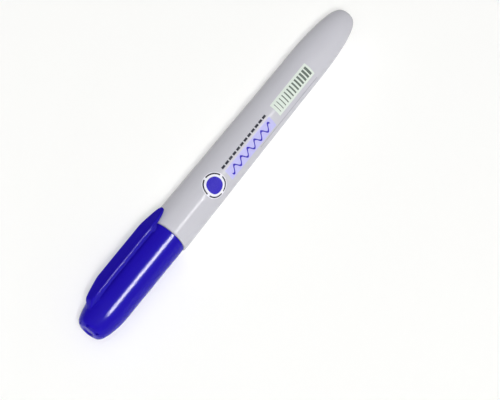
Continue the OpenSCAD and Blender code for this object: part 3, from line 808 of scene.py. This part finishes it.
# %% White sheet
FLOOR_HALF, PAPER_GLOW, PAPER_BOUNCE, PAPER_ROUGHNESS = 2.5, 0.35, 2.14, 0.9
sheet_mesh = bpy.data.meshes.new("white_sheet")
sheet_corners = FLOOR_HALF * np.array([[-1, -1, 0], [1, -1, 0], [1, 1, 0], [-1, 1, 0]])
sheet_mesh.from_pydata(sheet_corners.tolist(), [], [(0, 1, 2, 3)])
white_sheet = bpy.data.objects.new("white_sheet", sheet_mesh)
bpy.context.scene.collection.objects.link(white_sheet)
paper, paper_tree, paper_shader = new_material("uncoated_white_paper")[:3]
paper_shader.inputs["Base Color"].default_value = linear("#fbfbf9")
paper_shader.inputs["Roughness"].default_value = PAPER_ROUGHNESS
paper_shader.inputs["Specular IOR Level"].default_value = 0.0
rays = add_node(paper_tree, "ShaderNodeLightPath")
mirrored = add_node(paper_tree, "ShaderNodeMath",
                    {0: rays.outputs["Is Glossy Ray"], 1: rays.outputs["Is Transmission Ray"]},
                    operation="MAXIMUM")
shown = add_node(paper_tree, "ShaderNodeMath",
                 {0: rays.outputs["Is Camera Ray"], 1: mirrored.outputs["Value"]}, operation="MAXIMUM")
strength = add_node(paper_tree, "ShaderNodeMapRange",
                    {"Value": shown.outputs["Value"], "To Min": PAPER_BOUNCE, "To Max": 1.0})
glow = add_node(paper_tree, "ShaderNodeEmission",
                {"Color": linear("#fefefc"), "Strength": strength.outputs["Result"]})
blend = add_node(paper_tree, "ShaderNodeMixShader",
                 {0: PAPER_GLOW, 1: paper_shader.outputs["BSDF"], 2: glow.outputs["Emission"]})
paper_tree.links.new(blend.outputs["Shader"], paper_tree.nodes["Material Output"].inputs["Surface"])
sheet_mesh.materials.append(paper)
print("sheet:", 2 * FLOOR_HALF, "m wide, made of", paper.name)

# %% [markdown]
# ## Camera and light
# The camera stands about a metre away with a long lens, at the photograph's angle, so there is little
# perspective. Blue gloss this deep means that the room behind the camera was dim: a bright room would
# lay a grey veil over the cap. So the world is dim, and a little brighter towards +Y. A wide softbox
# overhead and a small key light, both on the camera's side and far away, light the marker evenly and
# don't show in its gloss. A softbox that shows in nothing but the gloss draws the narrow highlight along
# barrel and cap. The surface sends a ray from the camera to that softbox as a mirror does, so its place
# is the camera's direction turned by twice the angle at which the highlight lies.

# %% Camera
AZIMUTH, ELEVATION = np.radians(37.98), np.radians(66.90)
CAMERA_FAR, LENS, SENSOR = 1.1, 245.2, 36.0
AIM = np.array([2.58, 13.96, axis_z]) * MM
middle = np.array([0, 0, axis_z]) * MM
flat_share = np.cos(ELEVATION)
to_camera = np.array([flat_share * np.cos(AZIMUTH), flat_share * np.sin(AZIMUTH), np.sin(ELEVATION)])


def looking(thing, place, target):
    """Puts a lamp or camera at a place, turned so that it looks at the target."""
    thing.location = Vector(place.tolist())
    thing.rotation_euler = Vector((target - place).tolist()).to_track_quat("-Z", "Y").to_euler()
    bpy.context.scene.collection.objects.link(thing)


camera_data = bpy.data.cameras.new("camera")
camera_data.lens = LENS
camera_data.sensor_width = SENSOR
camera = bpy.data.objects.new("camera", camera_data)
looking(camera, middle + CAMERA_FAR * to_camera, AIM)
bpy.context.scene.camera = camera
print("camera looks at", AIM.round(4).tolist())

# %% Softboxes
HIGHLIGHT_TURN, HIGHLIGHT_FAR, HIGHLIGHT_X = np.radians(11.8), 0.44, -55.0
HIGHLIGHT_SIZE, HIGHLIGHT_POWER = (0.29, 0.11), 10.0
OVERHEAD_AT, OVERHEAD_SIZE, OVERHEAD_POWER = (0.6, 0.1, 2.2), (2.4, 2.4), 21.5
KEY_AT, KEY_SIZE, KEY_POWER = (0.78, 0.8, 2.2), (0.4, 0.4), 36.0
lean = np.arctan2(to_camera[1], to_camera[2]) + 2 * HIGHLIGHT_TURN
to_highlight = np.array([0, np.sin(lean), np.cos(lean)])


def softbox(name, place, target, size, power):
    """Rectangular lamp of a size in metres and a power in watts, aimed at a target."""
    data = bpy.data.lights.new(name, "AREA")
    data.shape = "RECTANGLE"
    data.size, data.size_y = size
    data.energy = power
    lamp = bpy.data.objects.new(name, data)
    looking(lamp, place, target)
    return lamp


highlight_target = np.array([HIGHLIGHT_X, 0, axis_z]) * MM
highlight = softbox("highlight_softbox", highlight_target + HIGHLIGHT_FAR * to_highlight, highlight_target,
                    HIGHLIGHT_SIZE, HIGHLIGHT_POWER)
highlight.visible_diffuse = False
overhead = softbox("overhead_softbox", np.array(OVERHEAD_AT), middle, OVERHEAD_SIZE, OVERHEAD_POWER)
overhead.visible_glossy = False
key = softbox("key_softbox", np.array(KEY_AT), middle, KEY_SIZE, KEY_POWER)
key.visible_glossy = False
print("lamps:", highlight.name, overhead.name, key.name)

# %% Dim room
ROOM_DARK, ROOM_LIT = 0.03, 0.34
world = bpy.data.worlds.new("dim_room")
world.use_nodes = True
bpy.context.scene.world = world
room = world.node_tree
direction = add_node(room, "ShaderNodeTexCoord").outputs["Generated"]
parts = add_node(room, "ShaderNodeSeparateXYZ", {"Vector": direction})
level = add_node(room, "ShaderNodeMapRange",
                 {"Value": parts.outputs["Y"], "From Min": -1.0, "From Max": 1.0,
                  "To Min": ROOM_DARK, "To Max": ROOM_LIT})
room.links.new(level.outputs["Result"], room.nodes["Background"].inputs["Strength"])
room.nodes["Background"].inputs["Color"].default_value = linear("#ffffff")
bpy.context.scene.view_settings.view_transform = "Standard"
print("room: from", ROOM_DARK, "to", ROOM_LIT, "of white")
